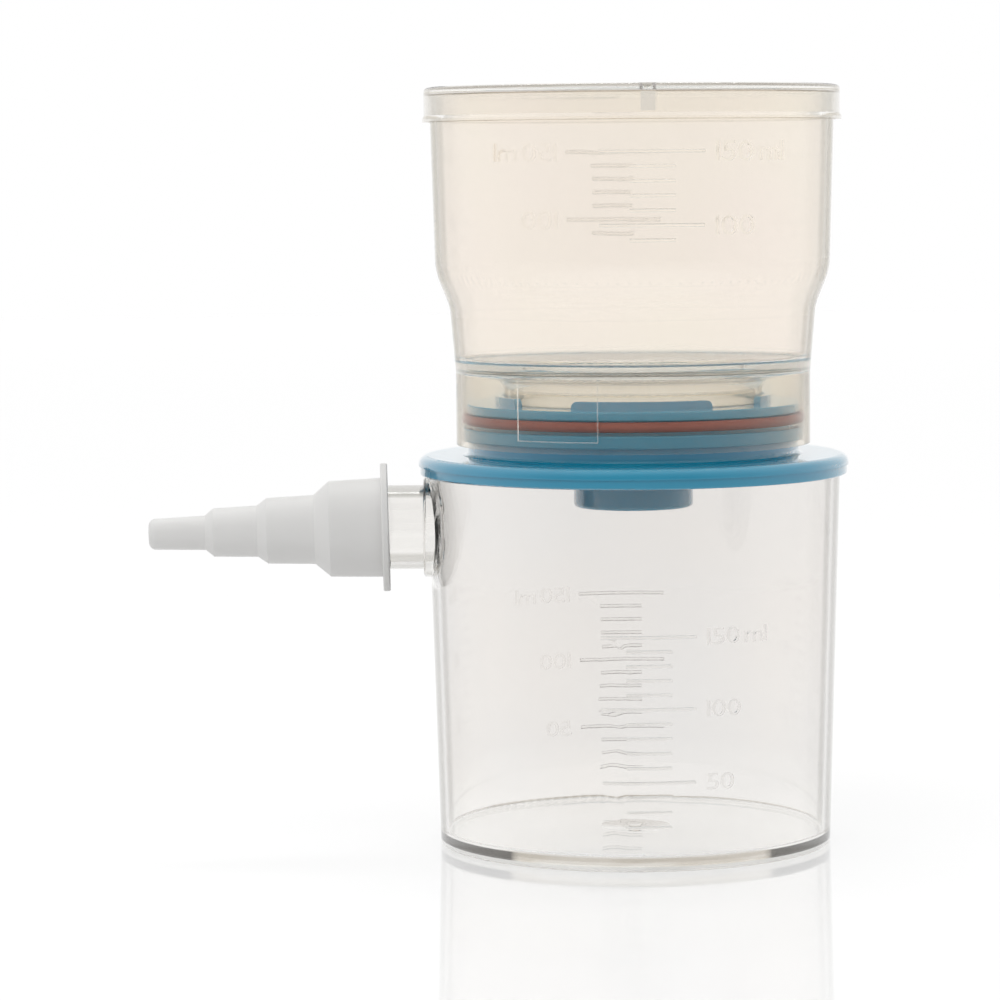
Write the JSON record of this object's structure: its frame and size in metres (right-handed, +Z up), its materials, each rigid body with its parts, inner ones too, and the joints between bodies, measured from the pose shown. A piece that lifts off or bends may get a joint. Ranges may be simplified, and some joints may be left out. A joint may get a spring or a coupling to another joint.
{
  "type": "vacuum filtration unit",
  "caption": "Laboratory vacuum filtration unit: clear receiver with side arm and stepped hose adapter, filter base with seal and membrane, graduated funnel cup and lid.",
  "frame": {"origin": "on the table, at the centre of the receiver's round foot, on the axis that the receiver, base, cup and lid share", "axes": "+Z up along that axis, -X along the side arm to the hose adapter's tip, -Y to the front with the scales"},
  "size_m": [0.1278, 0.0784, 0.1378],
  "materials": {
    "receiver": "clear moulded polystyrene, polished",
    "filter_base": "blue moulded plastic, polished",
    "seal": "red-brown silicone rubber, satin",
    "pad": "white absorbent cellulose",
    "membrane": "white cellulose membrane, matt",
    "upper_chamber": "amber-tinted translucent plastic",
    "lid": "clear moulded plastic",
    "hose_adapter": "white soft moulded plastic, satin"
  },
  "bodies": {
    "receiver": {"receiver": "receiver"},
    "filter_head": {"filter_base": "filter_base", "o_ring": "seal", "support_pad": "pad", "membrane": "membrane"},
    "funnel": {"upper_chamber": "upper_chamber"},
    "cover": {"lid": "lid"},
    "hose_end": {"hose_adapter": "hose_adapter"}
  },
  "joints": [
    {"name": "head_lift", "type": "slide", "parent": "receiver", "child": "filter_head", "axis": [0, 0, 1], "range_m": [0, 0.0079]},
    {"name": "funnel_lift", "type": "slide", "parent": "filter_head", "child": "funnel", "axis": [0, 0, 1], "range_m": [0, 0.0092]},
    {"name": "lid_lift", "type": "slide", "parent": "funnel", "child": "cover", "axis": [0, 0, 1], "range_m": [0, 0.005]},
    {"name": "adapter_pull", "type": "slide", "parent": "receiver", "child": "hose_end", "axis": [-1, 0, 0], "range_m": [0, 0.0092]}
  ]
}
